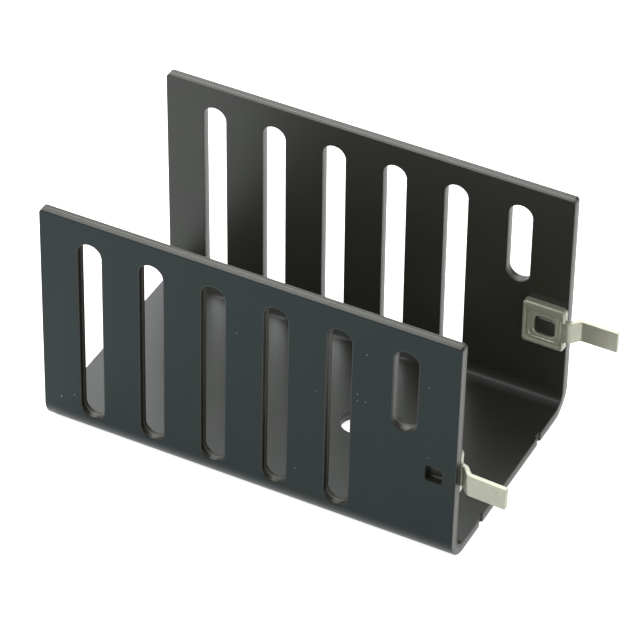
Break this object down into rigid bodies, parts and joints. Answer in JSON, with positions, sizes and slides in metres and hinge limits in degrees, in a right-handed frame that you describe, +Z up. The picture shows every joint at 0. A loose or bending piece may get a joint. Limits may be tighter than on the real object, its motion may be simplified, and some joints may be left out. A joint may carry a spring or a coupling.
{
  "type": "transistor heatsink",
  "caption": "Slotted U-channel heatsink of folded black anodised aluminium with staked, tinned solder tabs; a screw-mounted power transistor sits on its base and the tabs solder into a board.",
  "frame": {"origin": "axis of the device hole at the underside of the base, which is the face the part rests on", "axes": "+X along the channel to the end with the solder tabs, +Y across it, +Z up from the base to the open side"},
  "size_m": [0.0567, 0.0304, 0.0301],
  "materials": {
    "black_anodised_aluminium": "satin black anodised",
    "tinned_tab": "satin tin plate"
  },
  "bodies": {
    "root": {"channel": "black_anodised_aluminium", "left_solder_tab": "tinned_tab", "right_solder_tab": "tinned_tab"}
  },
  "joints": []
}
